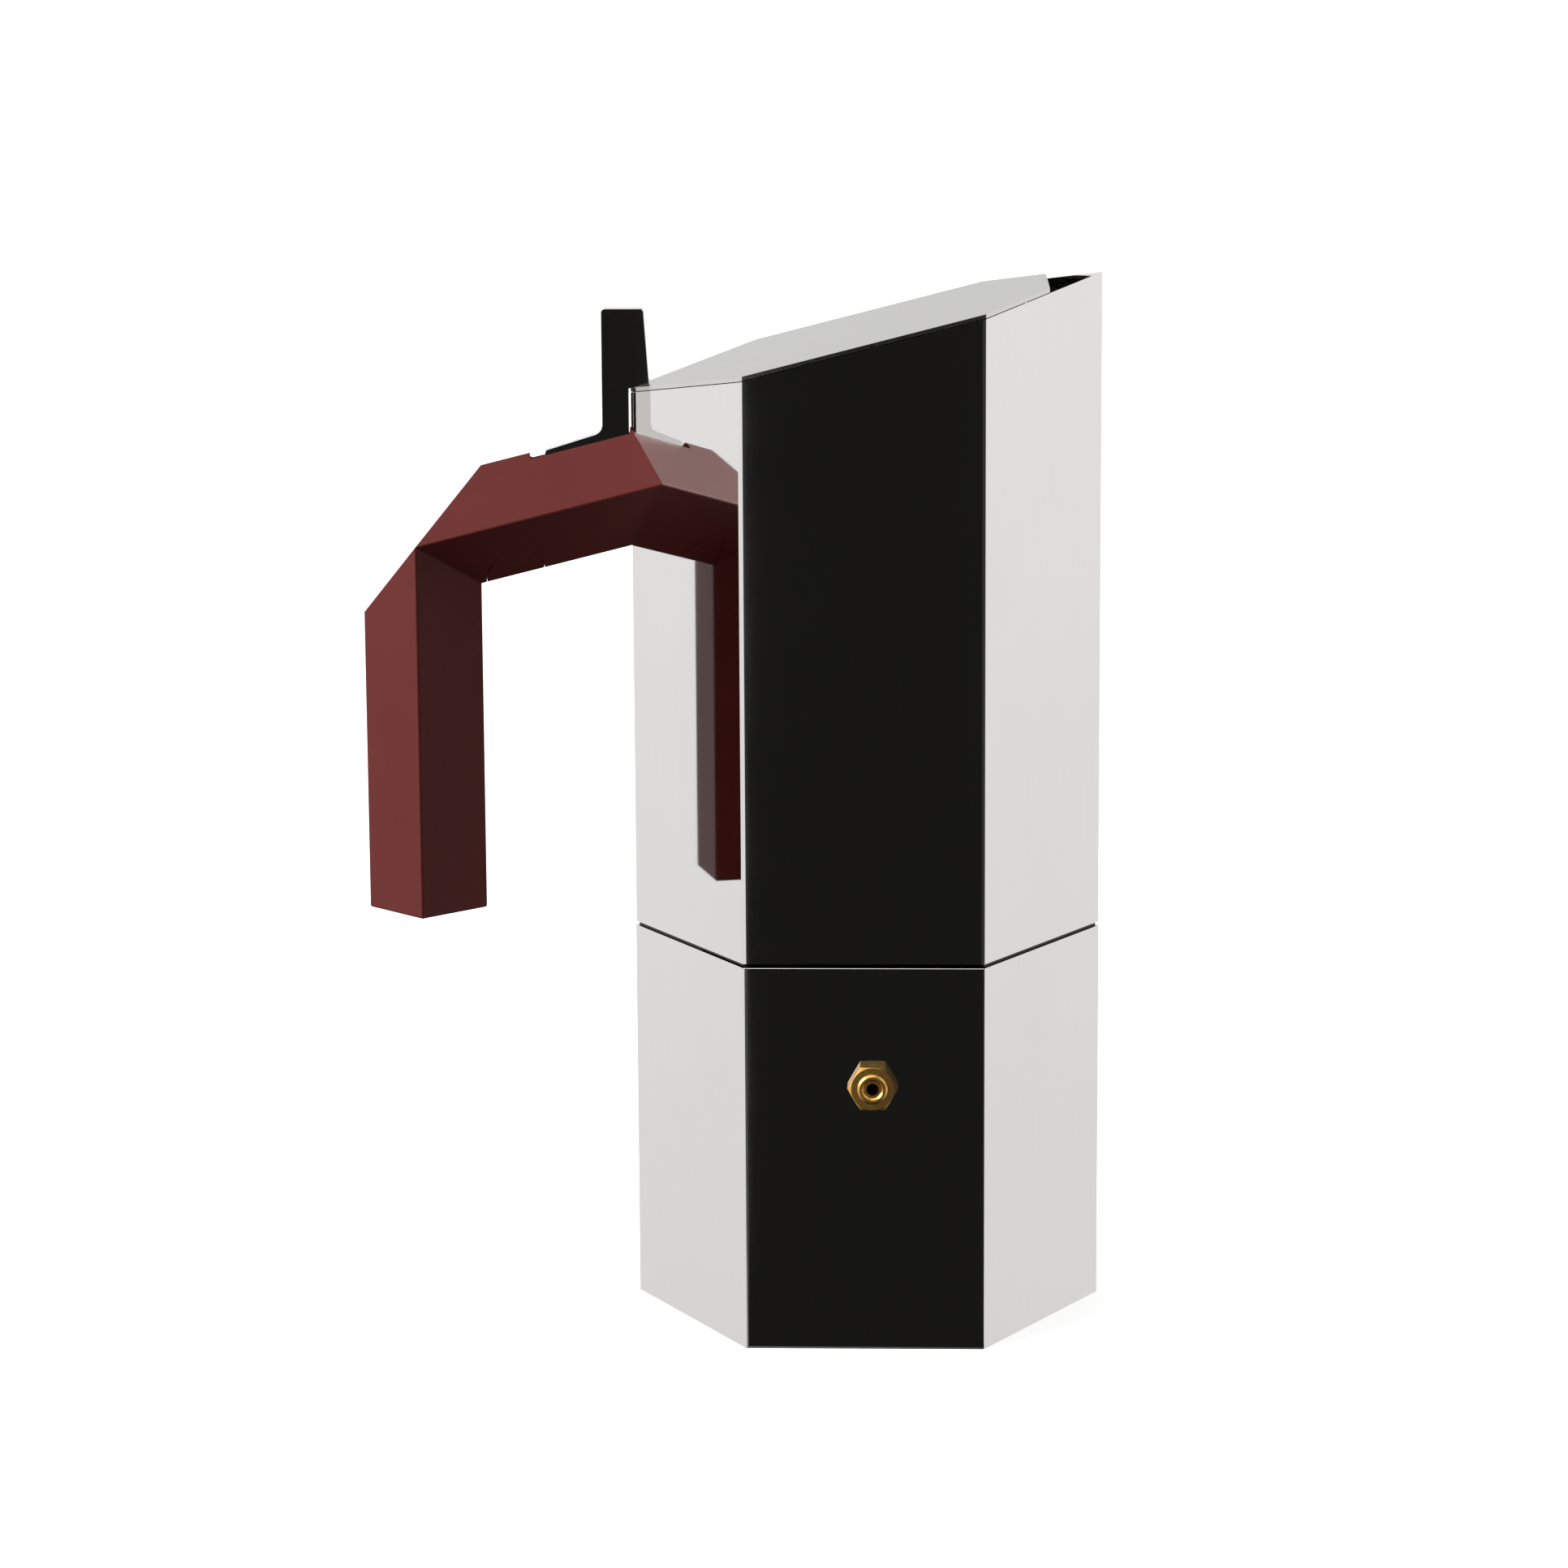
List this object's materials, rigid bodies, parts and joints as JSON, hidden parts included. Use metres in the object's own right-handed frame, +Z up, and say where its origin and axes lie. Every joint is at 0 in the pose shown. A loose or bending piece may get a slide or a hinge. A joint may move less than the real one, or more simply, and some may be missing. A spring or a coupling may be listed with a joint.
{
  "type": "moka pot",
  "caption": "Hexagonal stove-top coffee maker: boiler, screw-on jug with slanted rim and lid, thumb lever, bar handle, safety valve and filter funnel.",
  "frame": {"origin": "middle of the boiler's flat base, on the axis of the hexagon, where the pot stands", "axes": "+Z up along the hexagon's axis, +X to the spout corner, -X to the handle, -Y out of the face that carries the safety valve"},
  "size_m": [0.1731, 0.0995, 0.2445],
  "materials": {
    "boiler_aluminium": "mirror polished",
    "jug_aluminium": "mirror polished outside, satin inside",
    "lid_aluminium": "mirror polished",
    "pressed_aluminium": "pressed, satin",
    "handle_plastic": "fine matte moulding",
    "steel": "plain",
    "brass": "turned",
    "fibre": "matte",
    "rubber": "smooth silicone"
  },
  "bodies": {
    "boiler": {"boiler": "boiler_aluminium", "valve_body": "brass", "valve_washer": "fibre", "valve_bush": "brass", "valve_spring": "steel", "funnel_basket": "pressed_aluminium", "funnel_stem": "pressed_aluminium", "funnel_sieve": "pressed_aluminium"},
    "valve_plunger": {"valve_plunger": "brass"},
    "filter": {"gasket": "rubber", "filter_plate": "pressed_aluminium"},
    "jug": {"collector": "jug_aluminium", "riser_column": "jug_aluminium", "riser_cap": "jug_aluminium", "handle": "handle_plastic", "handle_screw": "steel", "handle_washer": "steel", "handle_plug": "handle_plastic", "hinge_pin": "steel"},
    "lid": {"lid": "lid_aluminium", "thumb_lever": "lid_aluminium"}
  },
  "joints": [
    {"name": "valve_pop", "type": "slide", "parent": "boiler", "child": "valve_plunger", "axis": [0, -1, 0], "range_m": [0, 0.001], "stiffness_N_per_m": 400, "springref_m": -0.002, "deforming": ["valve_spring"]},
    {"name": "jug_rise", "type": "slide", "parent": "boiler", "child": "filter", "axis": [0, 0, 1], "range_m": [0, 0.009]},
    {"name": "jug_turn", "type": "hinge", "parent": "filter", "child": "jug", "pos_m": [0, 0, 0], "axis": [0, 0, 1], "range_deg": [0, 1080]},
    {"name": "lid_open", "type": "hinge", "parent": "jug", "child": "lid", "pos_m": [-0.0675, 0, 0.19822], "axis": [0, -1, 0], "range_deg": [0, 90]}
  ],
  "couplings": [
    {"joint": "jug_rise", "follows": "jug_turn", "m_per_rad": 0.00047746}
  ]
}
